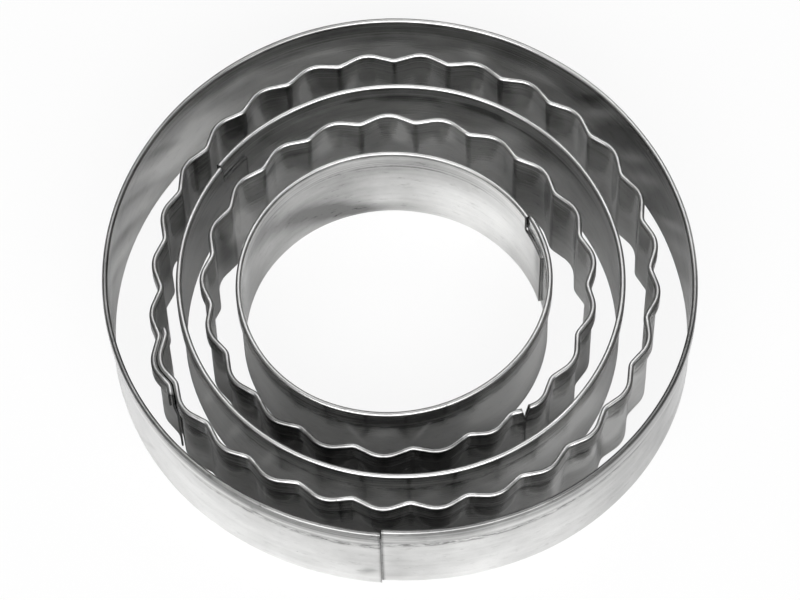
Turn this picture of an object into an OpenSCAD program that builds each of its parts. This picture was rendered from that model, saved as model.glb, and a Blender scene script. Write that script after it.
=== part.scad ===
// Set of five nested ring cutters for biscuits and pastry, plain and fluted by turns.
// Each ring is one strip of thin steel. Its top is folded outward and down into a hem,
// its bottom is the cutting edge, and its two ends lap and are spot-welded.
// Millimetres. Z is up, the cutting edges stand on Z = 0, the large ring is centred on Z.

/* [Strip] */
// Height of every ring, from cutting edge to rim
ring_h = 15; // [12:0.5:30]
// Thickness of the steel sheet
sheet_t = 0.3; // [0.2:0.05:0.3]
// Thickness of the folded rim, over both sheets
rim_t = 0.75; // [0.7:0.05:0.9]
// Height of the folded hem, from its lower edge to the rim
hem_h = 3; // [2:0.25:4]

/* [Rim diameters] */
// Large plain ring, over the rim
large_plain_d = 79.9; // [79.5:0.1:82]
// Large fluted ring, over the flutes
large_fluted_d = 71.1; // [70.7:0.1:71.3]
// Medium plain ring, over the rim
medium_plain_d = 60.6; // [60:0.2:61]
// Small fluted ring, over the flutes
small_fluted_d = 53.6; // [53.2:0.1:54]
// Small plain ring, over the rim
small_plain_d = 41.7; // [38:0.1:42.4]

/* [Flutes] */
// Number of flutes round the large fluted ring
large_flutes = 28; // [26:1:30]
// Number of flutes round the small fluted ring
small_flutes = 21; // [19:1:22]
// Depth of the flutes, from the outermost to the innermost line of the rim
flute_depth = 1; // [0.8:0.05:1.1]
// Radius of an outward lobe, at the middle of the rim
lobe_r = 4; // [3:0.2:4]
// Radius of an inward valley, at the middle of the rim
valley_r = 1.6; // [1.2:0.1:1.8]

/* [Seams] */
// Length of the inner end that runs on behind the outer end, on the plain rings
lap_len = 5; // [3.5:0.5:7]
// Clear space left between the layers of a lap
lap_gap = 0.1; // [0.05:0.05:0.15]
// Width of the slit where the two ends of a hem meet
slit_w = 0.15; // [0.1:0.05:0.4]
// Diameter of a spot weld
weld_d = 1.2; // [0.8:0.1:1.6]
// Direction of the seam of the large plain ring
large_plain_seam = 264; // [255:1:275]
// Direction of the seam of the large fluted ring
large_fluted_seam = 194.5; // [184:0.5:204]
// Direction of the seam of the medium plain ring
medium_plain_seam = 144; // [130:0.5:160]
// Direction of the seam of the small fluted ring
small_fluted_seam = 305.5; // [300:0.5:315]
// Direction of the seam of the small plain ring
small_plain_seam = 29; // [10:1:45]

/* [Springing out of round] */
// Large plain ring: rise of the two sides that stand out furthest
large_plain_two = 0.42; // [0:0.01:0.5]
// Large plain ring: direction of one of the two sides, from the seam
large_plain_two_at = 50; // [0:1:180]
// Large plain ring: rise of the three sides that stand out
large_plain_three = 0.23; // [0:0.01:0.3]
// Large plain ring: direction of one of the three sides, from the seam
large_plain_three_at = 65; // [0:1:120]
// Large fluted ring: rise of the two sides that stand out furthest
large_fluted_two = 0.16; // [0:0.01:0.5]
// Large fluted ring: direction of one of the two sides, from the seam
large_fluted_two_at = 132; // [0:1:180]
// Large fluted ring: rise of the three sides that stand out
large_fluted_three = 0.24; // [0:0.01:0.3]
// Large fluted ring: direction of one of the three sides, from the seam
large_fluted_three_at = 92; // [0:1:120]
// Large fluted ring: how far the strip is pushed in beside its seam
large_fluted_dent = 3.3; // [0:0.05:4]
// Large fluted ring: direction of the deepest point of that dent, from the seam
large_fluted_dent_at = -15.5; // [-20:0.5:0]
// Large fluted ring: angle over which the dent deepens
large_fluted_dent_before = 84; // [60:1:130]
// Large fluted ring: angle over which the dent ends
large_fluted_dent_after = 32; // [20:1:40]
// Large fluted ring: width of the last flute before the seam, beside the others
large_fluted_last = 0.96; // [0.8:0.01:1]
// Medium plain ring: rise of the two sides that stand out furthest
medium_plain_two = 0.13; // [0:0.01:0.5]
// Medium plain ring: direction of one of the two sides, from the seam
medium_plain_two_at = 155; // [0:1:180]
// Medium plain ring: rise of the three sides that stand out
medium_plain_three = 0.03; // [0:0.01:0.3]
// Medium plain ring: direction of one of the three sides, from the seam
medium_plain_three_at = 58; // [0:1:120]
// Small fluted ring: rise of the two sides that stand out furthest
small_fluted_two = 0.09; // [0:0.01:0.5]
// Small fluted ring: direction of one of the two sides, from the seam
small_fluted_two_at = 2; // [0:1:180]
// Small fluted ring: rise of the three sides that stand out
small_fluted_three = 0.2; // [0:0.01:0.3]
// Small fluted ring: direction of one of the three sides, from the seam
small_fluted_three_at = 65; // [0:1:120]
// Small fluted ring: how far the strip is pushed in beside its seam
small_fluted_dent = 0.85; // [0:0.05:1.5]
// Small fluted ring: direction of the deepest point of that dent, from the seam
small_fluted_dent_at = -7; // [-20:0.5:0]
// Small fluted ring: angle over which the dent deepens
small_fluted_dent_before = 116; // [60:1:130]
// Small fluted ring: angle over which the dent ends
small_fluted_dent_after = 20; // [20:1:40]
// Small fluted ring: width of the last flute before the seam, beside the others
small_fluted_last = 0.86; // [0.8:0.01:1]
// Small plain ring: rise of the two sides that stand out furthest
small_plain_two = 0.41; // [0:0.01:0.5]
// Small plain ring: direction of one of the two sides, from the seam
small_plain_two_at = 163; // [0:1:180]
// Small plain ring: rise of the three sides that stand out
small_plain_three = 0.15; // [0:0.01:0.3]
// Small plain ring: direction of one of the three sides, from the seam
small_plain_three_at = 92; // [0:1:120]

/* [Places in the nest] */
// Large fluted ring, to the right
large_fluted_x = -0.3; // [-0.5:0.1:0.3]
// Large fluted ring, to the back
large_fluted_y = -0.8; // [-1:0.1:0.5]
// Medium plain ring, to the right
medium_plain_x = -0.1; // [-0.5:0.1:0.5]
// Medium plain ring, to the back
medium_plain_y = -1.1; // [-1.4:0.1:0]
// Small fluted ring, to the right
small_fluted_x = -0.4; // [-0.7:0.1:0.3]
// Small fluted ring, to the back
small_fluted_y = -1.9; // [-2.1:0.1:-0.5]
// Small plain ring, to the right
small_plain_x = -1.1; // [-1.6:0.1:0.5]
// Small plain ring, to the back
small_plain_y = -1.7; // [-2.2:0.1:-0.5]

/* [Hidden] */
$fn = 96;
// Steps along a lobe and along a valley
lobe_steps = 4;
valley_steps = 3;
// Steps round the outside and the inside of the fold
fold_steps = 6;
crease_steps = 2;
// Radii of the fold, and the height of its middle
fold_r = rim_t / 2;
crease_r = fold_r - sheet_t;
fold_z = ring_h - fold_r;
hem_z = ring_h - hem_h;
// Height of a lapped end that has no hem
tab_h = hem_z - 0.2;
// Steepest slope of a flank to the ring
flank_slope = 30;
// Shift from one layer of a lap to the next: sheet on sheet, and rim on rim
sheet_shift = sheet_t + lap_gap;
rim_shift = (rim_t + lap_gap / 2) / cos(flank_slope);
// Heights of the two spot welds of a seam, and the sides of one between flutes
weld_z = [tab_h * 0.3, tab_h * 0.7];
weld_sides = 24;
// Arcs that make up each plain ring
large_plain_arcs = 12;
medium_plain_arcs = 8;
small_plain_arcs = 10;
// Step in degrees between measured points of a fluted ring's outline
pace = 3;
// How far the ends of the large fluted ring run on past their valleys
first_run = 0.5;
last_run = 1.1;
// Where the hem ends of the small fluted ring meet, past its seam's valley
seam_run = 1.6;
// Notch cut where they meet
notch_w = 1;
notch_h = 2.6;

function dir(a) = [cos(a), sin(a)];

// The strip cut across: X runs outward from the middle of the rim, Y is up.
module wall_section(h) {
    translate([-fold_r, 0]) square([sheet_t, h]);
}

module strip_section() {
    wall_section(fold_z);
    translate([crease_r, hem_z]) square([sheet_t, fold_z - hem_z]);
    translate([0, fold_z]) intersection() {
        difference() {
            circle(fold_r);
            circle(crease_r);
        }
        translate([-fold_r, 0]) square([rim_t, fold_r]);
    }
}

// The same section as points, for the rings that follow flutes.
function arch(r, from, to, steps) = [
    for (i = [0:steps]) [0, fold_z] + r * dir(from + (to - from) * i / steps)
];
function wall_points(h) = [
    [-fold_r, 0], [-crease_r, 0], [-crease_r, h], [-fold_r, h]
];
function strip_points() = concat(
    [[-fold_r, 0], [-crease_r, 0]],
    arch(crease_r, 180, 0, crease_steps),
    [[crease_r, hem_z], [fold_r, hem_z]],
    arch(fold_r, 0, 180, fold_steps)
);

// Convex parts that fill each section: the wall, the hem and the fold's parts.
wall_parts = [[0, 1, 2, 3]];
strip_parts = let (
    crease_end = 2 + crease_steps,
    fold_end = crease_end + 3 + fold_steps,
    k = fold_steps / crease_steps
) [
    [0, 1, 2, fold_end],
    [crease_end + 1, crease_end + 2, crease_end + 3, crease_end],
    for (c = [0:crease_steps - 1])
        concat([2 + c, 3 + c], [for (j = [c * k + k:-1:c * k]) fold_end - j])
];

// Depth of a dent at an angle from the seam. A dent holds its depth, its direction and the
// angles over which it deepens and ends.
function dent_depth(dent, a) = let (
    off = (a - dent[1] + 900) % 360 - 180,
    part = off / (off < 0 ? dent[2] : dent[3])
) abs(part) < 1 ? dent[0] * pow(cos(90 * part), 2) : 0;

// Radius of a ring that has sprung out of round. A spring holds the rise of two sides and
// the direction of one, then the same for three sides.
function sprung_r(r, spring, dent, a) = r - dent_depth(dent, a)
    + spring[0] * cos(2 * (a - spring[1])) + spring[2] * cos(3 * (a - spring[3]));

// Radius of curvature that gives the same form
function bend_r(r, spring, a) = r - 3 * spring[0] * cos(2 * (a - spring[1]))
    - 8 * spring[2] * cos(3 * (a - spring[3]));

// Plain ring: arcs that run on from one to the next. The second half is wide enough for the
// outer end to pass outside the inner end.
module plain_ring(d, spring, arcs) {
    grow = sheet_shift / 2;
    r = d / 2 - fold_r - grow / 2;
    span = 360 / arcs;
    radii = [
        for (i = [0:arcs]) bend_r(r, spring, (i + 0.5) * span) + (2 * i >= arcs ? grow : 0)
    ];
    mids = [
        for (
            i = 0, m = [0, 0];
            i < arcs;
            m = m + (radii[i] - radii[i + 1]) * dir((i + 1) * span), i = i + 1
        ) m
    ];
    centre = [for (m = mids) 1 / arcs] * mids;
    lap_a = lap_len / radii[0] * 180 / PI;
    slit_a = slit_w / radii[arcs - 1] * 180 / PI;
    translate(-centre) {
        for (i = [0:arcs - 1])
            translate(mids[i])
                rotate_extrude(start = i * span, angle = span - (i == arcs - 1 ? slit_a : 0))
                    translate([radii[i], 0]) strip_section();
        rotate_extrude(start = -lap_a, angle = lap_a)
            translate([radii[0], 0]) wall_section(tab_h);
        for (z = weld_z)
            rotate(-lap_a / 2)
                translate([radii[0] - fold_r + sheet_t / 2, 0, z]) rotate([0, 90, 0])
                    cylinder(d = weld_d, h = sheet_shift);
    }
}

// Fluted ring. Lobes and valleys are counted by half turns of the wave from the seam's
// valley, so even numbers are valleys. From the middle lobe on, the ring is wider by half
// of the lap's shift.
function wave_mid(r, n, shift, i) = let (
    a = i * 180 / n,
    turn = (2 * floor(n / 2) + 1) * 180 / n,
    far = a > turn,
    base = r + (far ? shift / 2 : 0),
    reach = i % 2 == 0 ? base - flute_depth / 2 + valley_r : base + flute_depth / 2 - lobe_r
) reach * dir(a) - (far ? shift / 2 : 0) * dir(turn);

// Angle between the way a lobe faces and the way the straight flank beside it faces
function flank_lean(r, n) = let (
    lobe = r + flute_depth / 2 - lobe_r,
    valley = (r - flute_depth / 2 + valley_r) * dir(180 / n),
    gap = valley - [lobe, 0]
) atan2(gap[1], gap[0]) - acos((lobe_r + valley_r) / norm(gap));

// Stations along a lobe or valley: a point on the rim's middle line and the way out of it
function wave_arc(r, n, shift, i, first = 0, last = 1) = let (
    even = i % 2 == 0,
    lean = flank_lean(r, n),
    a = i * 180 / n,
    half = even ? 180 / n - lean : lean,
    bend = even ? -valley_r : lobe_r,
    steps = even ? valley_steps : lobe_steps,
    mid = wave_mid(r, n, shift, i)
) [
    for (k = [first * steps:last * steps])
        let (out = a - half + 2 * half * k / steps) [mid + bend * dir(out), out]
];

// Table from the share of the strip used up, in degrees, to the angle reached. It keeps the
// flutes evenly spaced along the strip.
function paces(r, spring, dent) = let (
    radii = [for (a = [0:pace:360 + pace]) sprung_r(r, spring, dent, a)],
    lengths = [
        for (i = 0, l = 0; i * pace <= 360; l = l + norm([
            radii[i + 1] - radii[i], (radii[i] + radii[i + 1]) * pace * PI / 360
        ]), i = i + 1) l
    ]
) [for (i = [0:len(lengths) - 1]) [lengths[i] * 360 / lengths[len(lengths) - 1], i * pace]];

// Stations moved to where the ring lies once it has sprung out of round. The last flute
// has a width of its own.
function settled(stations, r, n, spring, dent, last) = let (
    reached = paces(r, spring, dent),
    widths = [[0, 0], [360 - 360 / n, 360 - 360 / n * last], [360, 360]]
) [
    for (s = stations)
        let (
            a = (atan2(s[0][1], s[0][0]) + 360) % 360,
            b = lookup(lookup(a, widths), reached),
            here = sprung_r(r, spring, dent, b),
            slope = sprung_r(r, spring, dent, b + 0.5) - sprung_r(r, spring, dent, b - 0.5),
            tilt = atan2(slope * 180 / PI, here)
        ) [(norm(s[0]) - r + here) * dir(b), s[1] + b - a - tilt]
];

// A station carried on by a length along the strip
function run_on(s, length) = [s[0] + length * dir(s[1] + 90), s[1]];

function place(s, p) = let (xy = s[0] + p[0] * dir(s[1])) [xy[0], xy[1], p[1]];

// Sweeps a section along stations. Its convex parts close either end.
module sweep(section, parts, stations) {
    m = len(section);
    last = len(stations) - 1;
    points = [for (s = stations, p = section) place(s, p)];
    sides = [
        for (j = [0:last - 1], i = [0:m - 1], half = [0, 1])
            let (
                a = j * m + i,
                b = j * m + (i + 1) % m
            ) half == 0 ? [a, b, a + m] : [b, b + m, a + m]
    ];
    first_end = [for (p = parts) [for (i = [len(p) - 1:-1:0]) p[i]]];
    last_end = [for (p = parts) [for (i = p) last * m + i]];
    polyhedron(points, concat(sides, first_end, last_end), convexity = 10);
}

// Welds that join the two layers at a station of the inner one
module lap_welds(station, shift) {
    for (z = weld_z)
        translate([station[0][0], station[0][1], z]) rotate(station[1])
            translate([-fold_r + sheet_t / 2, 0]) rotate([0, 90, 0])
                rotate(180 / weld_sides) cylinder(d = weld_d, h = shift, $fn = weld_sides);
}

module large_plain_ring() {
    spring = [
        large_plain_two, large_plain_two_at, large_plain_three, large_plain_three_at
    ];
    color("Silver") rotate(large_plain_seam) plain_ring(large_plain_d, spring, large_plain_arcs);
}

// Both ends keep their hems, and the last flute lies round the first.
module large_fluted_ring() {
    n = large_flutes;
    r = large_fluted_d / 2 - fold_r - flute_depth / 2 - rim_shift / 4;
    spring = [
        large_fluted_two, large_fluted_two_at, large_fluted_three, large_fluted_three_at
    ];
    dent = [
        large_fluted_dent, large_fluted_dent_at, large_fluted_dent_before,
        large_fluted_dent_after
    ];
    turns = [for (i = [0:2 * n + 2]) each wave_arc(r, n, rim_shift, i)];
    weld = wave_arc(r, n, rim_shift, 1)[lobe_steps / 2];
    stations = concat(
        [run_on(turns[0], -first_run)], turns, [run_on(turns[len(turns) - 1], last_run)], [weld]
    );
    moved = settled(stations, r, n, spring, dent, large_fluted_last);
    color("Silver")
        translate([large_fluted_x, large_fluted_y]) rotate(large_fluted_seam) {
            sweep(strip_points(), strip_parts, [for (i = [0:len(moved) - 2]) moved[i]]);
            lap_welds(moved[len(moved) - 1], rim_shift);
        }
}

module medium_plain_ring() {
    spring = [
        medium_plain_two, medium_plain_two_at, medium_plain_three, medium_plain_three_at
    ];
    color("Silver") translate([medium_plain_x, medium_plain_y])
        rotate(medium_plain_seam) plain_ring(medium_plain_d, spring, medium_plain_arcs);
}

// The inner end has lost its hem and lies behind the outer end for half a flute.
module small_fluted_ring() {
    n = small_flutes;
    r = small_fluted_d / 2 - fold_r - flute_depth / 2 - sheet_shift / 4;
    spring = [
        small_fluted_two, small_fluted_two_at, small_fluted_three, small_fluted_three_at
    ];
    dent = [
        small_fluted_dent, small_fluted_dent_at, small_fluted_dent_before,
        small_fluted_dent_after
    ];
    valley = wave_arc(r, n, sheet_shift, 0);
    start = run_on(valley[valley_steps], seam_run);
    turns = [for (i = [1:2 * n]) each wave_arc(r, n, sheet_shift, i)];
    end = turns[len(turns) - 1];
    finish = run_on(end, (start[0] - end[0]) * dir(start[1] + 90) - slit_w);
    tab = concat(wave_arc(r, n, sheet_shift, -1, first = 0.5), valley, [start]);
    marks = settled(
        [run_on(start, -slit_w / 2), valley[0]], r, n, spring, dent, small_fluted_last
    );
    notch = marks[0];
    color("Silver")
        translate([small_fluted_x, small_fluted_y]) rotate(small_fluted_seam)
            difference() {
                union() {
                    sweep(strip_points(), strip_parts, settled(
                        concat([start], turns, [finish]), r, n, spring, dent, small_fluted_last
                    ));
                    sweep(wall_points(tab_h), wall_parts, settled(
                        tab, r, n, spring, dent, small_fluted_last
                    ));
                    lap_welds(marks[1], sheet_shift);
                }
                translate(notch[0]) rotate(notch[1] + 90) rotate([90, 0, 0])
                    linear_extrude(4 * rim_t, center = true) polygon([
                        [-notch_w / 2, ring_h + 0.1],
                        [0, ring_h - notch_h],
                        [notch_w / 2, ring_h + 0.1]
                    ]);
            }
}

module small_plain_ring() {
    spring = [
        small_plain_two, small_plain_two_at, small_plain_three, small_plain_three_at
    ];
    color("Silver") translate([small_plain_x, small_plain_y])
        rotate(small_plain_seam) plain_ring(small_plain_d, spring, small_plain_arcs);
}

large_plain_ring();
large_fluted_ring();
medium_plain_ring();
small_fluted_ring();
small_plain_ring();
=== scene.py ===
import math
import bmesh
import bpy
from mathutils import Matrix, Vector


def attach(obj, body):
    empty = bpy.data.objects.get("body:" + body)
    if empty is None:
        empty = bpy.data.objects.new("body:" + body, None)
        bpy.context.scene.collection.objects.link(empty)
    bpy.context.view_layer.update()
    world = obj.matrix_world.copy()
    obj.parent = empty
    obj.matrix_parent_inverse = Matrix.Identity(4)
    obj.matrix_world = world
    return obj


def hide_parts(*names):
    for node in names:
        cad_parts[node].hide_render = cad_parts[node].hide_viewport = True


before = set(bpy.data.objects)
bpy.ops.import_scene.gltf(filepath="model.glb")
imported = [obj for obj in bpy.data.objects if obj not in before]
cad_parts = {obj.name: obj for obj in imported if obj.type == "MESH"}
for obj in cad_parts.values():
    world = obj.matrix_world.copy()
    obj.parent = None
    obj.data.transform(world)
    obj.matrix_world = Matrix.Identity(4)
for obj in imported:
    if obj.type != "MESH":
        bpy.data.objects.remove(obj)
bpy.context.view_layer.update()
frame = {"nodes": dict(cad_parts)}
scene = bpy.context.scene
mm = 0.001
print("frame loaded:", ", ".join(frame["nodes"]))

# the strip of steel before it is bent, in millimetres
strip = {
    "height": 15, "sheet": 0.3, "rim": 0.75, "hem": 3,
    "lapGap": 0.1, "slit": 0.15, "tabBelowHem": 0.2, "tuck": 0.05, "tuckLength": 0.8,
    "wallRows": 20, "hemRows": 7, "foldSteps": 12, "longestStep": 0.5, "sharpAngle": 40,
    # painted shadow in the gaps along the seam and along the top of the tab: how wide and how
    # dark
    "seamShadow": 0.07, "seamDark": 0.9, "tabShadow": 0.2, "tabDark": 0.6,
    # how far apart the rings and the two sides of the sheet lie on the steel's pattern
    "ringShift": 60, "sideShift": 40,
}
foldR = strip["rim"] / 2
creaseR = foldR - strip["sheet"]
foldZ = strip["height"] - foldR
hemZ = strip["height"] - strip["hem"]
tabZ = hemZ - strip["tabBelowHem"]
sheetShift = strip["sheet"] + strip["lapGap"]
tabTop = strip["wallRows"]


def compass(degrees):
    a = math.radians(degrees)
    return Vector((math.cos(a), math.sin(a)))


# rungs across the folded strip, from the cutting edge over the rim to the edge of the hem:
# the smooth side, the side inside the fold, and how far up the flat sheet it was
def stripRungs():
    rows = strip["wallRows"]
    heights = [tabZ * i / rows for i in range(rows + 1)]
    rows = strip["hemRows"]
    heights += [tabZ + (foldZ - tabZ) * (i + 1) / rows for i in range(rows)]
    rungs = [((-foldR, z), (-creaseR, z), z) for z in heights]
    top = Vector((0, foldZ))
    for i in range(1, strip["foldSteps"] + 1):
        a = 180 - 180 * i / strip["foldSteps"]
        run = foldZ + math.radians(180 - a) * foldR
        rungs.append((top + foldR * compass(a), top + creaseR * compass(a), run))
    for i in range(1, rows + 1):
        z = foldZ + (hemZ - foldZ) * i / rows
        tuck = strip["tuck"] * max(0, 1 - (z - hemZ) / strip["tuckLength"]) ** 2
        run = foldZ + math.pi * foldR + foldZ - z
        rungs.append(((foldR - tuck, z), (creaseR - tuck, z), run))
    return rungs


rungs = stripRungs()


# How much lighter or darker the sheet is in a direction and at a height, on the face that
# looks outward or the one that looks to the middle. Most marks are painted reflections and
# painted shade, a few are weld marks. A mark has its direction and height, its half width
# and half height, its slant and its strength.
def toneAt(ring, direction, z, outward):
    total = 0
    cutoff = 4
    marksAndPaintedLight = ring["outside"] if outward else ring["inside"]
    for where, height, along, up, slant, strength in marksAndPaintedLight:
        off = math.radians((direction - where + 180) % 360 - 180) * ring["across"] / 2
        off = (off + slant * (z - height)) / along
        rise = (z - height) / up
        far = off * off + rise * rise
        if far < cutoff:
            total += strength * math.exp(-far ** ring["markEdge"])
    return total


def smoothStep(x):
    return x * x * (3 - 2 * x)


# Flat strip with X along it, Y outward and Z up. Before the length "start" it is a bare tab.
# The notch leans both ends of the hem back from the seam.
def flatStrip(name, ring, lengths, directions, flutes, start, notch=None):
    bm = bmesh.new()
    uvLayer = bm.loops.layers.uv.new("strip")
    toneLayer = bm.verts.layers.float.new("tone")
    fluteLayer = bm.verts.layers.float.new("flute")
    last = len(rungs) - 1
    final = lengths[-1]

    def onTab(s):
        return s < start - 1e-6

    def lean(s, z):
        if not notch or z < notch["foot"]:
            return s
        cut = (z - notch["foot"]) / (strip["height"] - notch["foot"]) * notch["half"]
        if s >= start and s - start < notch["reach"]:
            return s + cut * (1 - (s - start) / notch["reach"])
        if final - s < notch["reach"]:
            return s - cut * (1 - (final - s) / notch["reach"])
        return s

    # the lower wall of the large fluted ring's outer end is pressed against the inner end
    def pressed(s, z):
        if "press" not in ring or z > hemZ:
            return 0
        along = min(1, max(0, 1 - (final - s - ring["pressFrom"]) / ring["pressFade"]))
        down = min(1, (hemZ - z) / ring["pressFade"])
        return ring["press"] * smoothStep(along) * smoothStep(down)

    # painted shadow: darker at the ends of the strip by the seam, and along the top of the tab
    def lapShadow(s, z, outward):
        end = min(abs(s - start), final - s) if outward or z > hemZ else s
        dark = strip["seamDark"] * math.exp(-(end / strip["seamShadow"]) ** 2)
        if onTab(s) and not outward:
            below = (tabZ - z) / strip["tabShadow"]
            dark = max(dark, strip["tabDark"] * math.exp(-below ** 2))
        return dark

    def vertex(s, y, z, direction, flute, outward):
        made = bm.verts.new((lean(s, z) * mm, (y - pressed(s, z)) * mm, z * mm))
        made[toneLayer] = toneAt(ring, direction, z, outward) - lapShadow(s, z, outward)
        made[fluteLayer] = flute
        return made

    columns = []
    for s, direction, flute in zip(lengths, directions, flutes):
        column = []
        for smooth, inside, run in rungs[:(tabTop if onTab(s) else last) + 1]:
            folded = run > foldZ + foldR
            u = s + strip["ringShift"] * ring["seed"]
            column.append([
                (vertex(s, *smooth, direction, flute, folded), u, run),
                (vertex(s, *inside, direction, flute, not folded), u, run + strip["sideShift"]),
            ])
        columns.append(column)

    # the pattern is measured in centimetres
    def face(*corners):
        made = bm.faces.new([c[0] for c in corners])
        made.smooth = True
        for loop, corner in zip(made.loops, corners):
            loop[uvLayer].uv = (corner[1] / 10, corner[2] / 10)

    def cap(column, low, high):
        for i in range(low, high):
            face(column[i][0], column[i][1], column[i + 1][1], column[i + 1][0])

    for here, there in zip(columns, columns[1:]):
        top = min(len(here), len(there)) - 1
        for i in range(top):
            for side in (0, 1):
                face(here[i][side], here[i + 1][side], there[i + 1][side], there[i][side])
        for i in (0, top):
            face(here[i][0], here[i][1], there[i][1], there[i][0])
        if len(there) > len(here):
            cap(there, top, last)
    cap(columns[0], 0, len(columns[0]) - 1)
    cap(columns[-1], 0, last)
    bmesh.ops.recalc_face_normals(bm, faces=bm.faces)
    mesh = bpy.data.meshes.new(name)
    bm.to_mesh(mesh)
    bm.free()
    return mesh


# a function that adds a node to a tree: the inputs are values or other nodes' outputs, and
# it returns the new node's outputs
def nodeMaker(tree):
    def node(kind, inputs=None, **settings):
        made = tree.nodes.new(kind)
        for key, value in settings.items():
            setattr(made, key, value)
        for socket, value in (inputs or {}).items():
            if isinstance(value, bpy.types.NodeSocket):
                tree.links.new(value, made.inputs[socket])
            else:
                made.inputs[socket].default_value = value
        return made.outputs
    return node


# bends a flat strip along a path, and lets the sheet lie a little unevenly
def bendingTree():
    tree = bpy.data.node_groups.new("bendStrip", "GeometryNodeTree")
    for label, kind in (
        ("Strip", "Geometry"), ("Path", "Object"), ("Unevenness", "Float"),
        ("Patch Size", "Float"), ("Seed", "Int"), ("Finish", "Material"),
    ):
        tree.interface.new_socket(label, in_out="INPUT", socket_type="NodeSocket" + kind)
    tree.interface.new_socket("Ring", in_out="OUTPUT", socket_type="NodeSocketGeometry")
    node = nodeMaker(tree)

    def calc(operation, a, b):
        return node("ShaderNodeMath", {0: a, 1: b}, operation=operation)[0]

    def vector(operation, inputs):
        return node("ShaderNodeVectorMath", inputs, operation=operation)[0]

    source = node("NodeGroupInput")
    path = node("GeometryNodeObjectInfo", {"Object": source["Path"]})
    place = node("ShaderNodeSeparateXYZ", {0: node("GeometryNodeInputPosition")[0]})
    sample = node(
        "GeometryNodeSampleCurve", {"Curves": path["Geometry"], "Length": place["X"]},
        mode="LENGTH",
    )
    rise = node("ShaderNodeCombineXYZ", {"Z": place["Z"]})[0]
    stand = vector("ADD", {0: sample["Position"], 1: rise})
    noise = node(
        "ShaderNodeTexNoise",
        {
            "Vector": stand, "W": source["Seed"], "Detail": 0,
            "Scale": calc("DIVIDE", 1, source["Patch Size"]),
        },
        noise_dimensions="4D",
    )
    inward = calc("MULTIPLY", noise[0], source["Unevenness"])
    offset = calc("SUBTRACT", place["Y"], inward)
    outward = vector("CROSS_PRODUCT", {0: sample["Tangent"], 1: (0, 0, 1)})
    across = vector("SCALE", {0: outward, "Scale": offset})
    total = vector("ADD", {0: stand, 1: across})
    move = node("GeometryNodeSetPosition", {"Geometry": source["Strip"], "Position": total})
    real = node("GeometryNodeRealizeInstances", {0: move[0]})
    finish = node(
        "GeometryNodeSetMaterial", {"Geometry": real[0], "Material": source["Finish"]},
    )
    node("NodeGroupOutput", {0: finish[0]})
    return tree


bendStrip = bendingTree()
bendInputs = {
    item.name: item.identifier for item in bendStrip.interface.items_tree
    if item.in_out == "INPUT"
}


# the curve to bend along, through points on the rim's middle line
def pathCurve(name, points):
    line = bpy.data.curves.new(name, "CURVE")
    line.dimensions = "3D"
    spline = line.splines.new("POLY")
    spline.points.add(len(points) - 1)
    for knot, p in zip(spline.points, points):
        knot.co = (p.x * mm, p.y * mm, 0, 1)
    obj = bpy.data.objects.new(name, line)
    scene.collection.objects.link(obj)
    return obj


def pathLengths(points):
    lengths = [0]
    for a, b in zip(points, points[1:]):
        lengths.append(lengths[-1] + (b - a).length)
    return lengths


def evenSteps(points):
    fine = [points[0]]
    for a, b in zip(points, points[1:]):
        count = math.ceil((b - a).length / strip["longestStep"])
        fine += [a.lerp(b, (k + 1) / count) for k in range(count)]
    return fine


# adds a station close to each end of the hem, for the painted shadow line along the seam
def seamSteps(points, start):
    near = strip["seamShadow"]
    lengths = pathLengths(points)
    full = []
    for a, b, here, there in zip(points, points[1:], lengths, lengths[1:]):
        full.append(a)
        for s in (near, start - near, start + near, lengths[-1] - near):
            if here + near / 4 < s < there - near / 4:
                full.append(a.lerp(b, (s - here) / (there - here)))
    return full + [points[-1]]


# 0 on the crest of a flute to 1 in the crease between two, and 2 on a plain ring
def fluteShares(ring, points, lengths):
    if "flutes" not in ring:
        return [2] * len(points)
    middle = Vector(ring["place"])
    far = [(p - middle).length for p in points]
    around = 8
    creases = [
        s for i, s in enumerate(lengths)
        if far[i] == min(far[max(0, i - around):i + around + 1])
    ]
    half = (creases[-1] - creases[0]) / (len(creases) - 1) / 2
    return [1 - min(abs(s - crease) for crease in creases) / half for s in lengths]


def placed(points, ring):
    turn = Matrix.Rotation(math.radians(ring["seam"]), 2)
    return [turn @ p + Vector(ring["place"]) for p in points]


def makeRing(name, ring, tab, body, notch=None):
    tab = placed(tab, ring)
    body = placed(body, ring)
    points = evenSteps(tab + body)
    start = pathLengths(evenSteps(tab + body[:1]))[-1]
    points = seamSteps(points, start)
    lengths = pathLengths(points)
    middle = Vector(ring["place"])
    directions = [math.degrees(math.atan2(*(p - middle).yx)) for p in points]
    flutes = fluteShares(ring, points, lengths)
    mesh = flatStrip(name + "Flat", ring, lengths, directions, flutes, start, notch)
    flat = bpy.data.objects.new(name + "Flat", mesh)
    scene.collection.objects.link(flat)
    path = pathCurve(name + "Path", points)
    bend = flat.modifiers.new("bend", "NODES")
    bend.node_group = bendStrip
    bend[bendInputs["Path"]] = path
    bend[bendInputs["Unevenness"]] = ring["unevenness"] * mm
    bend[bendInputs["Patch Size"]] = ring["patch"] * mm
    bend[bendInputs["Seed"]] = ring["seed"]
    bend[bendInputs["Finish"]] = rolledSteel
    graph = bpy.context.evaluated_depsgraph_get()
    solid = bpy.data.meshes.new_from_object(flat.evaluated_get(graph))
    solid.name = name
    flat.modifiers.remove(bend)
    bpy.data.objects.remove(flat)
    bpy.data.objects.remove(path)
    solid.set_sharp_from_angle(angle=math.radians(strip["sharpAngle"]))
    piece = bpy.data.objects.new(name, solid)
    scene.collection.objects.link(piece)
    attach(piece, ring["node"])
    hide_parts(ring["node"])
    print(name, len(solid.polygons), "faces")


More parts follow.
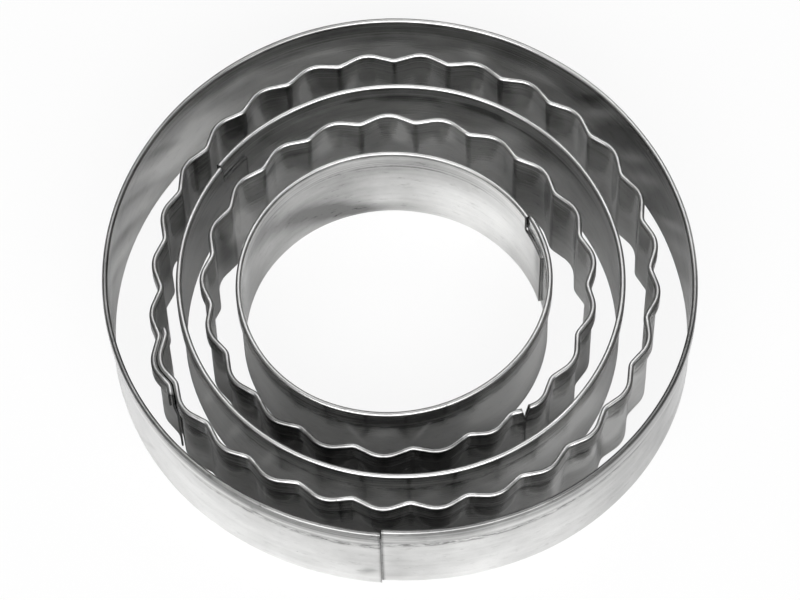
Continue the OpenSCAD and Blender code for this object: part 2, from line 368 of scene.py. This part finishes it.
# how far a ring has sprung oval and three-cornered, at an angle from its seam
def springs(ring, a):
    two = ring["two"] * math.cos(math.radians(2 * (a - ring["twoAt"])))
    three = ring["three"] * math.cos(math.radians(3 * (a - ring["threeAt"])))
    return two, three


# radius of a ring that has sprung out of round and may be pressed in on one side
def sprungR(ring, r, a):
    two, three = springs(ring, a)
    deep = 0
    if "dent" in ring:
        off = (a - ring["dentAt"] + 900) % 360 - 180
        part = off / (ring["dentBefore"] if off < 0 else ring["dentAfter"])
        if abs(part) < 1:
            deep = ring["dent"] * math.cos(math.radians(90 * part)) ** 2
    return r + two + three - deep


# radius of curvature of the same form: a wave of n round the ring counts n * n - 1 times
def bendR(ring, r, a):
    two, three = springs(ring, a)
    return r - 3 * two - 8 * three


# arcs that run on from one to the next; the second half is wide enough to pass outside
# the tab
def plainPath(ring):
    arcs, steps = ring["arcs"], ring["steps"]
    grow = sheetShift / 2
    r = ring["across"] / 2 - foldR - grow / 2
    span = 360 / arcs
    radii = [
        bendR(ring, r, (i + 0.5) * span) + (grow if 2 * i >= arcs else 0)
        for i in range(arcs + 1)
    ]
    mids = [Vector((0, 0))]
    for i in range(arcs - 1):
        mids.append(mids[-1] + (radii[i] - radii[i + 1]) * compass((i + 1) * span))
    centre = sum(mids, Vector((0, 0))) / arcs

    def arc(i, low, high, count):
        return [
            mids[i] - centre + radii[i] * compass(low + (high - low) * k / count)
            for k in range(count + 1)
        ]

    lap = math.degrees(ring["lap"] / radii[0])
    slit = math.degrees(strip["slit"] / radii[arcs - 1])
    tab = arc(0, -lap, 0, ring["lapSteps"])[:-1]
    body = []
    for i in range(arcs):
        last = slit if i == arcs - 1 else 0
        body += arc(i, span * i, span * (i + 1) - last, steps)[bool(i):]
    return tab, body


def makePlain(name, ring):
    tab, body = plainPath(ring)
    makeRing(name, ring, tab, body)


# wave of round lobes and valleys joined by straight flanks, counted by half waves
# from the valley at the seam; past the middle the ring is wider, for the lap
def waveArc(ring, r, shift, i, first=0, last=1):
    n, depth = ring["flutes"], ring["depth"]
    lobeR, valleyR = ring["lobe"], ring["valley"]
    lobe = r + depth / 2 - lobeR
    gap = (r - depth / 2 + valleyR) * compass(180 / n) - Vector((lobe, 0))
    lean = math.degrees(math.atan2(gap.y, gap.x) - math.acos((lobeR + valleyR) / gap.length))
    even = i % 2 == 0
    a = i * 180 / n
    turn = (2 * (n // 2) + 1) * 180 / n
    wide = shift / 2 if a > turn else 0
    reach = r + wide + (valleyR - depth / 2 if even else depth / 2 - lobeR)
    mid = reach * compass(a) - wide * compass(turn)
    half = 180 / n - lean if even else lean
    bend = -valleyR if even else lobeR
    steps = ring["valleySteps"] if even else ring["lobeSteps"]
    stations = []
    for k in range(round(first * steps), round(last * steps) + 1):
        out = a - half + 2 * half * k / steps
        stations.append((mid + bend * compass(out), out))
    return stations


def runOn(station, length):
    return (station[0] + length * compass(station[1] + 90), station[1])


def lookup(x, table):
    for (x0, y0), (x1, y1) in zip(table, table[1:]):
        if x <= x1:
            return y0 + (y1 - y0) * (x - x0) / (x1 - x0)
    return table[-1][1]


# moves stations to where the ring lies once it has sprung out of round, with its flutes
# evenly spaced along the strip and a width of its own for the last one
def settled(ring, r, stations):
    pace, n = 3, ring["flutes"]
    radii = [sprungR(ring, r, a) for a in range(0, 360 + pace, pace)]
    lengths = [0]
    for a, b in zip(radii, radii[1:]):
        lengths.append(lengths[-1] + math.hypot(b - a, (a + b) / 2 * math.radians(pace)))
    reached = [(l * 360 / lengths[-1], i * pace) for i, l in enumerate(lengths)]
    widths = [(0, 0), (360 - 360 / n, 360 - 360 / n * ring["lastFlute"]), (360, 360)]
    moved = []
    for p, out in stations:
        a = math.degrees(math.atan2(p.y, p.x)) % 360
        b = lookup(lookup(a, widths), reached)
        moved.append((p.length - r + sprungR(ring, r, b)) * compass(b))
    return moved


def newMaterial(name):
    mat = bpy.data.materials.new(name)
    mat.use_nodes = True
    mat.node_tree.nodes.clear()
    return mat, nodeMaker(mat.node_tree)


# Bright rolled sheet. The pattern is in centimetres along the strip and across it: up the
# inside of the wall, over the rim and down the hem. The outside of the wall starts at 4.
# besides the steel's own tone, the colour holds painted reflections, painted shade and painted
# glints
steel = {
    "level": 0.66, "lightest": 1, "darkest": 0.2, "blue": 0.99, "markGain": 1.25,
    "smears": 0.22, "streaks": 0.06, "flecks": 0.2, "speck": 0.14, "dotSpacing": 5,
    "hemShade": 0.45, "hemEndShade": 0.4, "hemEdge": 0.25, "pressLines": 0.14,
    "patch": 0.24, "patchHalf": 0.7, "patchFrom": 5.3, "patchPerCm": 2.5, "patchEdge": 0.1,
    "crease": 0.2, "valleyGlint": 0.2,
    "gloss": 0.08, "matt": 0.24, "rimMatt": 0.34, "anisotropic": 0.35,
    "grain": 0.00001, "waves": 0.00012, "waveSize": 0.008, "waveDetail": 1.5,
}
# from, to and how soft
zones = {
    "hemEndShade": (1.19, 1.215, 0.012), "hemShade": (5.03, 5.165, 0.03),
    "hemEdge": (1.8, 1.87, 0.02), "hemInside": (1.17, 1.45, 0.03),
    "hemOutside": (1.59, 1.84, 0.03), "valleyGlint": (1.58, 1.75, 0.03), "rim": (1.462, 1.58, 0.012),
}
# scale along and across, detail, seed, roughness and slant
patterns = {
    "smears": ((0.8, 1.1), 5, 2, 0.6, 25), "streaks": ((0.35, 11), 4, 1),
    "patchOutline": ((1.3, 3), 2, 9), "patchDepth": ((0.5, 1.2), 2, 11),
    "hemShade": ((6, 24), 3, 5, 0.7), "pressLines": ((0.25, 30), 3, 7),
    "flecks": ((4, 11), 5, 8, 0.75), "dust": ((3.5, 5), 2, 3),
    "grain": ((1.5, 45), 3, 4), "worn": ((0.9, 1.6), 4, 6),
}


def makeSteel():
    mat, node = newMaterial("rolledSteel")
    uv = node("ShaderNodeUVMap", uv_map="strip")[0]
    across = node("ShaderNodeSeparateXYZ", {0: uv})["Y"]

    def noise(scale, detail, seed, rough=0.5, slant=0):
        stretched = node("ShaderNodeMapping", {
            "Vector": uv, "Scale": (*scale, 1), "Rotation": (0, 0, math.radians(slant)),
            "Location": (seed * 7.3, seed * 3.1, seed),
        })
        return node("ShaderNodeTexNoise", {
            "Vector": stretched[0], "Scale": 1, "Detail": detail, "Roughness": rough,
        })[0]

    def span(value, low, high, start=0.0, end=1.0):
        return node("ShaderNodeMapRange", {
            "Value": value, "From Min": low, "From Max": high, "To Min": start, "To Max": end,
        })[0]

    def calc(operation, a, b):
        return node("ShaderNodeMath", {0: a, 1: b}, operation=operation)[0]

    def band(low, high, soft):
        rise = span(across, low - soft, low + soft)
        fall = span(across, high - soft, high + soft, 1.0, 0.0)
        return calc("MULTIPLY", rise, fall)

    def lighter(tone, share, amount):
        return calc("ADD", tone, calc("MULTIPLY", share, amount))

    def darker(tone, share, amount):
        return calc("SUBTRACT", tone, calc("MULTIPLY", share, amount))

    # broad smears and rolling streaks, and each ring's own marks, which are mostly painted
    # reflections and painted shade
    level = steel["level"]
    smears = span(noise(*patterns["smears"]), 0.25, 0.75, -1.0, 1.0)
    streaks = span(noise(*patterns["streaks"]), 0.25, 0.75, -1.0, 1.0)
    marksAndPaintedLight = node("ShaderNodeAttribute", attribute_name="tone")["Fac"]
    tone = calc("MULTIPLY", smears, steel["smears"] * level)
    tone = lighter(tone, streaks, steel["streaks"] * level)
    tone = lighter(tone, marksAndPaintedLight, steel["markGain"] * level)
    tone = calc("ADD", tone, level)

    # painted reflection: outside, each flute gets a dark patch with a round foot and a light
    # edge
    flute = node("ShaderNodeAttribute", attribute_name="flute")["Fac"]
    outside = calc("GREATER_THAN", across, 1.5)
    onWall = calc("GREATER_THAN", across, 3)
    down = calc("SUBTRACT", steel["patchFrom"], across)
    down = calc("MAXIMUM", calc("MULTIPLY", down, steel["patchPerCm"]), 0)
    down = calc("MULTIPLY", down, onWall)
    oval = calc("POWER", calc("DIVIDE", flute, steel["patchHalf"]), 4)
    oval = calc("ADD", oval, calc("POWER", down, 4))
    oval = calc("ADD", oval, span(noise(*patterns["patchOutline"]), 0.25, 0.75, -0.5, 0.5))
    patch = calc("MULTIPLY", span(oval, 1.5, 0.7), outside)
    depth = noise(*patterns["patchDepth"])
    depth = span(depth, 0.3, 0.7, 0.3 * steel["patch"], steel["patch"])
    tone = darker(tone, patch, depth)
    # painted highlight round the foot of each patch
    paintedLightEdge = calc("MULTIPLY", span(oval, 1.35, 1.7), span(oval, 2.7, 2.0))
    paintedLightEdge = calc("MULTIPLY", paintedLightEdge, calc("MULTIPLY", span(down, 0.3, 0.8), outside))
    tone = lighter(tone, paintedLightEdge, steel["patchEdge"])

    # painted shade: the creases show as dark lines inside; painted glints: light marks on the
    # hem outside, over each crease
    crease = calc("MULTIPLY", span(flute, 0.9, 0.98), calc("LESS_THAN", flute, 1.5))
    inner = calc("MULTIPLY", crease, calc("LESS_THAN", across, 1.45))
    tone = darker(tone, inner, steel["crease"])
    tone = lighter(tone, calc("MULTIPLY", crease, band(*zones["valleyGlint"])), steel["valleyGlint"])

    # painted shade: a faint line inside where the hem ends, and a dotted line outside just
    # below the hem's edge
    shown = calc("MULTIPLY", band(*zones["hemEndShade"]), steel["hemEndShade"])
    hemLine = calc("MAXIMUM", shown, band(*zones["hemShade"]))
    hemLine = calc("MULTIPLY", hemLine, span(noise(*patterns["hemShade"]), 0.4, 0.6))
    tone = darker(tone, hemLine, steel["hemShade"])
    # painted shade along the lower edge of the hem's outer face
    tone = darker(tone, band(*zones["hemEdge"]), steel["hemEdge"])
    lines = noise(*patterns["pressLines"])
    lines = span(lines, 0.35, 0.65, -steel["pressLines"], steel["pressLines"])
    hemFaces = calc("MAXIMUM", band(*zones["hemInside"]), band(*zones["hemOutside"]))
    tone = lighter(tone, hemFaces, lines)
    tone = calc("MINIMUM", calc("MAXIMUM", tone, steel["darkest"]), steel["lightest"])

    # flecks, and dots where there is dust
    flecks = span(noise(*patterns["flecks"]), 0.57, 0.72, 0.0, steel["flecks"])
    tone = calc("SUBTRACT", tone, flecks)
    dust = span(noise(*patterns["dust"]), 0.6, 0.66)
    cells = node("ShaderNodeTexVoronoi", {"Scale": steel["dotSpacing"], "Vector": uv})
    dots = calc("MULTIPLY", span(cells["Distance"], 0.07, 0.035), dust)
    tone = darker(tone, dots, calc("SUBTRACT", tone, steel["speck"]))
    colour = node("ShaderNodeCombineColor", {
        "Red": tone, "Green": tone, "Blue": calc("MULTIPLY", tone, steel["blue"]),
    })

    grain = node("ShaderNodeBump", {
        "Distance": steel["grain"], "Height": noise(*patterns["grain"]),
    })
    swell = node("ShaderNodeTexNoise", {
        "Vector": node("ShaderNodeTexCoord")["Object"], "Scale": 1 / steel["waveSize"],
        "Detail": steel["waveDetail"],
    })
    waves = node("ShaderNodeBump", {
        "Distance": steel["waves"], "Height": swell[0], "Normal": grain[0],
    })

    worn = calc("MAXIMUM", span(noise(*patterns["worn"]), 0.45, 0.7), dots)
    rough = span(worn, 0, 1, steel["gloss"], steel["matt"])
    rim = calc("MULTIPLY", band(*zones["rim"]), steel["rimMatt"])
    along = node("ShaderNodeTangent", direction_type="UV_MAP", uv_map="strip")
    bsdf = node("ShaderNodeBsdfPrincipled", {
        "Base Color": colour[0], "Metallic": 1, "Roughness": calc("MAXIMUM", rough, rim),
        "Anisotropic": steel["anisotropic"], "Normal": waves[0], "Tangent": along[0],
    })
    node("ShaderNodeOutputMaterial", {"Surface": bsdf["BSDF"]})
    return mat


rolledSteel = makeSteel()

largePlain = {
    "node": "large_plain_ring", "across": 79.9, "seam": 264, "place": (0, 0),
    "two": 0.42, "twoAt": 50, "three": 0.23, "threeAt": 65,
    "lap": 5, "lapSteps": 6, "arcs": 12, "steps": 30,
    "unevenness": 0.12, "patch": 9, "seed": 1, "markEdge": 1.2,
    # marks inside and outside: painted reflections and painted shade, with a few weld marks
    "inside": [
        (176, 8, 1, 7, -1.2, -0.2), (172, 8, 1.5, 7, -1.2, 0.25),
        (167, 9, 1.6, 7, -1.2, -0.4), (161, 8, 2, 7, -1.2, 0.2), (156, 9, 1.2, 6, -1.2, -0.3),
        (151, 10, 1.4, 5, -1.2, 0.2), (146, 11, 1.4, 4, -1.2, -0.3),
        (142, 5, 6, 3.5, -1, 0.45), (134, 7, 4, 3, -0.8, 0.45),
        (110, 13.6, 22, 1.3, 0, -0.35), (75, 13.3, 12, 1.3, 0, -0.2),
        (103, 9.3, 9, 0.7, 0.1, 0.4), (125, 10.7, 6, 0.9, -0.3, 0.3),
        (114, 11.2, 4, 0.5, 0, -0.25), (92, 10.9, 5, 0.5, 0, -0.2), (73, 9, 1.6, 1.6, 0, 0.4),
        (60, 9.5, 4, 1.3, 0.3, 0.4), (66, 11.5, 3, 0.5, 0, -0.25), (46, 12, 1, 3, 0.8, -0.3),
        (42.5, 11, 1.2, 3.5, 0.8, 0.45), (38, 9, 2.2, 5, 0.8, -0.35),
        (32, 8, 1, 4, 0.8, 0.35), (27, 7, 1.2, 4, 0.8, 0.3), (21, 6, 2, 5, 0.8, -0.35),
        (14, 8, 1, 5, 0.8, 0.4), (9, 7, 1.6, 5, 0.8, 0.25), (4, 6, 1, 5, 0.8, -0.2),
        (135, 15, 34, 0.45, 0, -0.4), (192, 15, 20, 0.45, 0, -0.3), (20, 7, 24, 12, 0, -0.5),
    ],
    "outside": [
        (280, 14.2, 45, 1.3, 0, -0.4), (230, 14.4, 20, 1, 0, -0.25),
        (268, 6, 1.8, 7, 0, -0.1), (338, 7, 18, 14, 0, -0.5), (262.5, 3.5, 0.9, 0.7, 0, -0.3),
        (261, 2.7, 0.9, 0.6, 0, -0.2), (209, 3, 0.6, 2, -1, -0.2),
        (240, 12.6, 0.6, 0.5, 0, -0.35), (135, 15, 34, 0.45, 0, -0.4),
        (192, 15, 20, 0.45, 0, -0.3), (300, 15, 26, 0.4, 0, -0.3),
    ],
}
makePlain("largePlainRing", largePlain)

mediumPlain = {
    "node": "medium_plain_ring", "across": 60.6, "seam": 144, "place": (-0.1, -1.1),
    "two": 0.13, "twoAt": 155, "three": 0.03, "threeAt": 58,
    "lap": 5, "lapSteps": 6, "arcs": 8, "steps": 39,
    "unevenness": 0.12, "patch": 8, "seed": 2, "markEdge": 1.2,
    # marks inside and outside: mostly painted reflections and painted shade
    "inside": [
        (100, 12.7, 1.8, 0.5, 0, -0.4), (89, 12.4, 3.2, 0.8, 0, -0.45),
        (80, 12.3, 1.4, 0.6, 0, -0.4), (67, 12.4, 3.2, 0.8, 0, -0.65),
        (61.5, 12.1, 1, 0.9, 0, -0.4), (52, 12.2, 4, 0.3, 0, -0.3),
        (40, 11.8, 7, 0.3, 0, -0.25), (114, 12, 6, 0.4, 0, 0.2),
        (127, 12.4, 1.2, 0.7, 0, -0.3), (120, 9, 12, 3, 0, 0.12), (82, 10, 6, 1, 0, 0.2),
        (58, 8.5, 2.5, 3, 1, 0.35), (45, 11, 5, 3, 0.8, -0.35), (30, 10, 4, 4, 0.8, -0.2),
        (170, 9, 3, 6, -0.8, 0.15), (160, 12, 2, 3, -0.8, -0.25),
    ],
    "outside": [
        (265, 9, 26, 6, 0, 0.2), (270, 14.2, 30, 0.8, 0, -0.3), (209, 9, 0.8, 5, -0.4, 0.35),
        (221, 9, 0.8, 5, -0.4, 0.35), (233, 9, 0.8, 5, -0.4, 0.35),
        (254, 10.8, 1.7, 1, 0, 0.3), (263, 10.6, 1.7, 1, 0, 0.3),
        (277, 9.5, 1.8, 1.2, 0, 0.3), (289, 10.6, 1.8, 1, 0, 0.25),
        (248, 9.8, 1.2, 0.7, 0, -0.3), (258.5, 9.8, 1.2, 0.7, 0, -0.3),
        (270, 10.5, 1.6, 0.8, 0, -0.3), (283, 10.2, 1.4, 0.7, 0, -0.35),
        (301, 11, 2, 0.7, 0, -0.3), (325, 8, 4, 8, 0.9, 0.4), (313, 9, 5, 6, 0, 0.25),
    ],
}
makePlain("mediumPlainRing", mediumPlain)

smallPlain = {
    "node": "small_plain_ring", "across": 41.7, "seam": 29, "place": (-1.1, -1.7),
    "two": 0.41, "twoAt": 163, "three": 0.15, "threeAt": 92,
    "lap": 5, "lapSteps": 6, "arcs": 10, "steps": 24,
    "unevenness": 0.1, "patch": 8, "seed": 3, "markEdge": 1.2,
    # marks inside and outside: mostly painted reflections and painted shade
    "inside": [
        (125, 8, 26, 16, 0, -0.25), (133, 7, 4.5, 6.5, -1.7, -0.3),
        (115, 2.4, 5.5, 2.6, -0.9, -0.3), (95, 1, 7, 1.2, 0, -0.25), (168, 6, 7, 9, 0, -0.15),
        (150, 12.5, 6, 1.5, -0.3, -0.15), (85, 12, 12, 2.5, 0, -0.15),
        (50, 6, 12, 5, 0.4, 0.35), (172, 8, 2, 8, 0, 0.2), (100, 15, 24, 0.45, 0, -0.3),
        (15, 10, 1, 6, 0, -0.5),
    ],
    "outside": [
        (250, 13, 16, 2, 0, -0.4), (282, 12.6, 8, 2.4, 0, -0.5),
        (315, 13.5, 8, 1.3, 0, -0.25), (253, 9, 0.5, 3, 0.5, 0.35),
        (265, 9.3, 2.3, 1.8, 0, 0.4), (258.5, 9.5, 0.5, 2, -0.3, -0.3),
        (272.5, 9.5, 0.6, 2, 0.3, -0.3), (280, 9, 0.5, 2.2, -0.5, 0.4),
        (305, 8, 3, 3, 0, 0.35), (320, 7, 6, 5, 0, 0.5), (340, 8, 3, 6, 0, 0.35),
    ],
}
makePlain("smallPlainRing", smallPlain)

# both ends keep their hems, and the last flute lies round the first
largeFluted = {
    "node": "large_fluted_ring", "across": 71.1, "seam": 194.5, "place": (-0.3, -0.8),
    "flutes": 28, "depth": 1, "lobe": 4, "valley": 1.6, "lobeSteps": 12, "valleySteps": 9,
    "flankSlope": 30, "firstRun": 0.5, "lastRun": 1.1, "lastFlute": 0.96,
    "two": 0.16, "twoAt": 132, "three": 0.24, "threeAt": 92,
    "dent": 3.3, "dentAt": -15.5, "dentBefore": 84, "dentAfter": 32,
    "press": 0.45, "pressFrom": 5, "pressFade": 4,
    "unevenness": 0.1, "patch": 8, "seed": 4, "markEdge": 2.2,
    # marks inside and outside: mostly painted reflections, painted glints and painted shade
    "inside": [
        (163, 3, 3, 4, 0, -0.4), (152, 8, 3.2, 6, 0, -0.35), (142, 8, 2.5, 6, 0, -0.1),
        (136.5, 8, 0.9, 6, 0, 0.3), (130.5, 12, 2.6, 3.2, 0, -0.45),
        (123.5, 9, 1, 5, -0.2, 0.55), (117.5, 12, 2.6, 3.2, 0, -0.45),
        (111, 9, 1, 4, -0.1, 0.75), (104.5, 12, 2.2, 3, 0, -0.3), (100, 9, 0.8, 3, 0, 0.4),
        (82, 10, 2.5, 2, 0, 0.15), (70, 9, 1, 3, 0, 0.5), (64, 12, 1.8, 2.6, 0, -0.3),
        (58, 10, 1.6, 2.2, 0, 0.3), (50, 11.5, 1.8, 2.6, 0, -0.3), (43, 9, 1, 3, 0, 0.2),
        (35, 7, 6, 8, 0, -0.15), (20, 7, 5, 8, 0, -0.1),
    ],
    "outside": [
        (203, 8, 3, 8, 0, -0.1), (216, 8, 3, 3.5, 0, -0.3), (250, 8, 22, 7, 0, -0.15),
        (285, 8, 14, 7, 0, -0.2), (222.5, 8, 0.8, 5, 0, 0.2), (235.5, 9, 0.35, 3.5, 0, 0.3),
        (237.5, 9.5, 0.3, 2.5, 0, 0.3), (305.5, 8, 1.2, 4.5, 0, 0.55),
        (312, 7.5, 3, 1.5, 0, 0.35), (316.3, 9.5, 0.7, 2, 0, 0.5),
        (319.5, 7, 1.2, 7, 0.15, -0.5), (324, 7.5, 2.6, 4, 0, 0.6), (329, 8, 0.8, 3, 0, 0.5),
        (331.3, 6, 0.8, 4, 0.2, -0.4), (338, 7, 3.5, 8, 0, 0.3),
    ],
}


def makeLargeFluted(ring):
    n = ring["flutes"]
    flank = math.radians(ring["flankSlope"])
    shift = (strip["rim"] + strip["lapGap"] / 2) / math.cos(flank)
    r = ring["across"] / 2 - foldR - ring["depth"] / 2 - shift / 4
    turns = [s for i in range(2 * n + 3) for s in waveArc(ring, r, shift, i)]
    stations = [runOn(turns[0], -ring["firstRun"])] + turns
    stations.append(runOn(turns[-1], ring["lastRun"]))
    makeRing("largeFlutedRing", ring, [], settled(ring, r, stations))


makeLargeFluted(largeFluted)

# the inner end has lost its hem and lies behind the outer end for half a flute
smallFluted = {
    "node": "small_fluted_ring", "across": 53.6, "seam": 305.5, "place": (-0.4, -1.9),
    "flutes": 21, "depth": 1, "lobe": 4, "valley": 1.6, "lobeSteps": 12, "valleySteps": 9,
    "seamRun": 1.6, "lastFlute": 0.86,
    "notchHalf": 0.5, "notchDeep": 2.6, "notchReach": 2,
    "two": 0.09, "twoAt": 2, "three": 0.2, "threeAt": 65,
    "dent": 0.85, "dentAt": -7, "dentBefore": 116, "dentAfter": 20,
    "unevenness": 0.1, "patch": 8, "seed": 5, "markEdge": 1.8,
    # marks inside and outside: mostly painted reflections, painted glints and painted shade
    "inside": [
        (158, 8, 2.5, 8, -0.3, -0.45), (146, 6, 3, 5, -0.5, 0.55),
        (132, 12.8, 1.2, 0.7, 0, -0.5), (128, 8, 4, 3, 0, 0.2),
        (122, 12.5, 2, 0.8, 0.4, -0.3), (111, 11, 2.2, 2.6, 0, 0.55),
        (97, 10, 2.2, 4, 0, -0.2), (88, 11.5, 1.5, 2.5, 0, 0.7), (80, 9, 2.5, 3, 0, 0.15),
        (73, 12, 1.4, 1.6, 0, 0.45), (60, 9, 2.5, 4, 0, 0.15), (45, 8, 7, 8, 0, -0.35),
        (35, 9, 0.5, 4, 0.1, -0.35), (30, 8, 5, 8, 0, -0.2),
    ],
    "outside": [
        (240, 9, 16, 9, 0, -0.35), (280, 9, 8, 9, 0, -0.35), (328, 9, 3.5, 7, 0, 0.3),
        (333, 8, 1, 5, 0, 0.3), (318, 10, 0.8, 5, 0, 0.3),
    ],
}


def makeSmallFluted(ring):
    n = ring["flutes"]
    r = ring["across"] / 2 - foldR - ring["depth"] / 2 - sheetShift / 4
    valley = waveArc(ring, r, sheetShift, 0)
    start = runOn(valley[-1], ring["seamRun"])
    turns = [s for i in range(1, 2 * n + 1) for s in waveArc(ring, r, sheetShift, i)]
    onward = (start[0] - turns[-1][0]).dot(compass(start[1] + 90))
    finish = runOn(turns[-1], onward - strip["slit"])
    tab = settled(ring, r, waveArc(ring, r, sheetShift, -1, first=0.5) + valley)
    body = settled(ring, r, [start] + turns + [finish])
    notch = {
        "foot": strip["height"] - ring["notchDeep"],
        "half": ring["notchHalf"], "reach": ring["notchReach"],
    }
    makeRing("smallFlutedRing", ring, tab, body, notch)


makeSmallFluted(smallFluted)

# Table and soft studio light. The table glows by one share for the camera and by another
# in the steel, which grows towards the bright side over the given metres.
studio = {
    "floorSize": 8, "floorColor": 0.9, "floorRough": 0.8, "floorShine": 0.2,
    "glowSeen": 0.91, "glowMirrored": 0.03, "brightGlow": 0.2,
    "brightSide": (0.82, -0.57, 0), "brightFrom": 0.024, "brightTo": 0.037,
    "sky": 0.06, "horizon": 1, "horizonHeight": 0.06,
    # name, place, size, brightness and whether it lights the table; the top one is only
    # for the edges of the steel, so that the gaps between the rings stay dark
    "lamps": (
        ("front", (0, -1.0, 0.8), (2, 0.9), 5.2, True),
        ("back", (0, 1.0, 1.2), (1.8, 0.35), 2.6, True),
        ("top", (0, 0.15, 1.4), (1.1, 1.1), 1.2, False),
    ),
}


def makeFloor():
    bpy.ops.mesh.primitive_plane_add(size=studio["floorSize"], location=(0, 0, 0))
    floor = bpy.context.object
    floor.name = "table"
    mat, node = newMaterial("whiteTable")
    c = studio["floorColor"]
    cloth = node("ShaderNodeBsdfPrincipled", {
        "Base Color": (c, c, c, 1), "Roughness": studio["floorRough"],
        "Specular IOR Level": studio["floorShine"],
    })
    glow = node("ShaderNodeEmission")
    where = node("ShaderNodeTexCoord")["Object"]
    side = node(
        "ShaderNodeVectorMath", {0: where, 1: studio["brightSide"]},
        operation="DOT_PRODUCT",
    )
    mirrored = node(
        "ShaderNodeMapRange",
        {
            "Value": side["Value"],
            "From Min": studio["brightFrom"], "From Max": studio["brightTo"],
            "To Min": studio["glowMirrored"], "To Max": studio["brightGlow"],
        },
        interpolation_type="SMOOTHSTEP",
    )
    rays = node("ShaderNodeLightPath")
    share = 0
    for ray, most in (
        ("Camera", studio["glowSeen"]), ("Glossy", mirrored[0]),
        ("Transmission", studio["glowMirrored"]),
    ):
        inputs = {0: rays[f"Is {ray} Ray"], 1: most, 2: share}
        share = node("ShaderNodeMath", inputs, operation="MULTIPLY_ADD")[0]
    mix = node("ShaderNodeMixShader", {0: share, 1: cloth[0], 2: glow[0]})
    node("ShaderNodeOutputMaterial", {"Surface": mix[0]})
    floor.data.materials.append(mat)


makeFloor()


def makeSky():
    world = bpy.data.worlds.new("studio")
    scene.world = world
    world.use_nodes = True
    node = nodeMaker(world.node_tree)
    where = node("ShaderNodeTexCoord")["Generated"]
    fade = node(
        "ShaderNodeMapRange",
        {
            "Value": node("ShaderNodeSeparateXYZ", {0: where})["Z"],
            "From Min": studio["horizonHeight"] / 2, "From Max": studio["horizonHeight"],
            "To Min": studio["horizon"], "To Max": studio["sky"],
        },
        interpolation_type="SMOOTHSTEP",
    )
    background = world.node_tree.nodes["Background"]
    world.node_tree.links.new(fade[0], background.inputs["Color"])


makeSky()


# flat soft light of an even brightness, facing the rings
def softbox(name, place, size, brightness, lightsTable):
    lamp = bpy.data.lights.new(name, "AREA")
    lamp.shape = "RECTANGLE"
    lamp.size, lamp.size_y = size
    lamp.energy = brightness * math.pi * size[0] * size[1]
    obj = bpy.data.objects.new(name, lamp)
    scene.collection.objects.link(obj)
    obj.location = place
    obj.rotation_euler = (-Vector(place)).to_track_quat("-Z", "Y").to_euler()
    obj.visible_diffuse = lightsTable


for lamp in studio["lamps"]:
    softbox(*lamp)
print("table and light set")

# camera at the photograph's angle
view = {
    "elevation": 60.894, "roll": -1.642, "distance": 0.54137,
    "aim": (-0.000158, -0.000666, 0.0075), "lens": 179.82, "sensor": 36,
}


def setCamera():
    el, roll = math.radians(view["elevation"]), math.radians(view["roll"])
    back = Vector((0, -math.cos(el), math.sin(el)))
    right = Vector((1, 0, 0))
    up = back.cross(right)
    across = math.cos(roll) * right + math.sin(roll) * up
    upward = -math.sin(roll) * right + math.cos(roll) * up
    lens = bpy.data.cameras.new("camera")
    lens.lens = view["lens"]
    lens.sensor_width = view["sensor"]
    camera = bpy.data.objects.new("camera", lens)
    scene.collection.objects.link(camera)
    turn = Matrix((across, upward, back)).transposed().to_4x4()
    place = Vector(view["aim"]) + view["distance"] * back
    camera.matrix_world = Matrix.Translation(place) @ turn
    scene.camera = camera


setCamera()
scene.view_settings.view_transform = "Standard"
print("camera set")
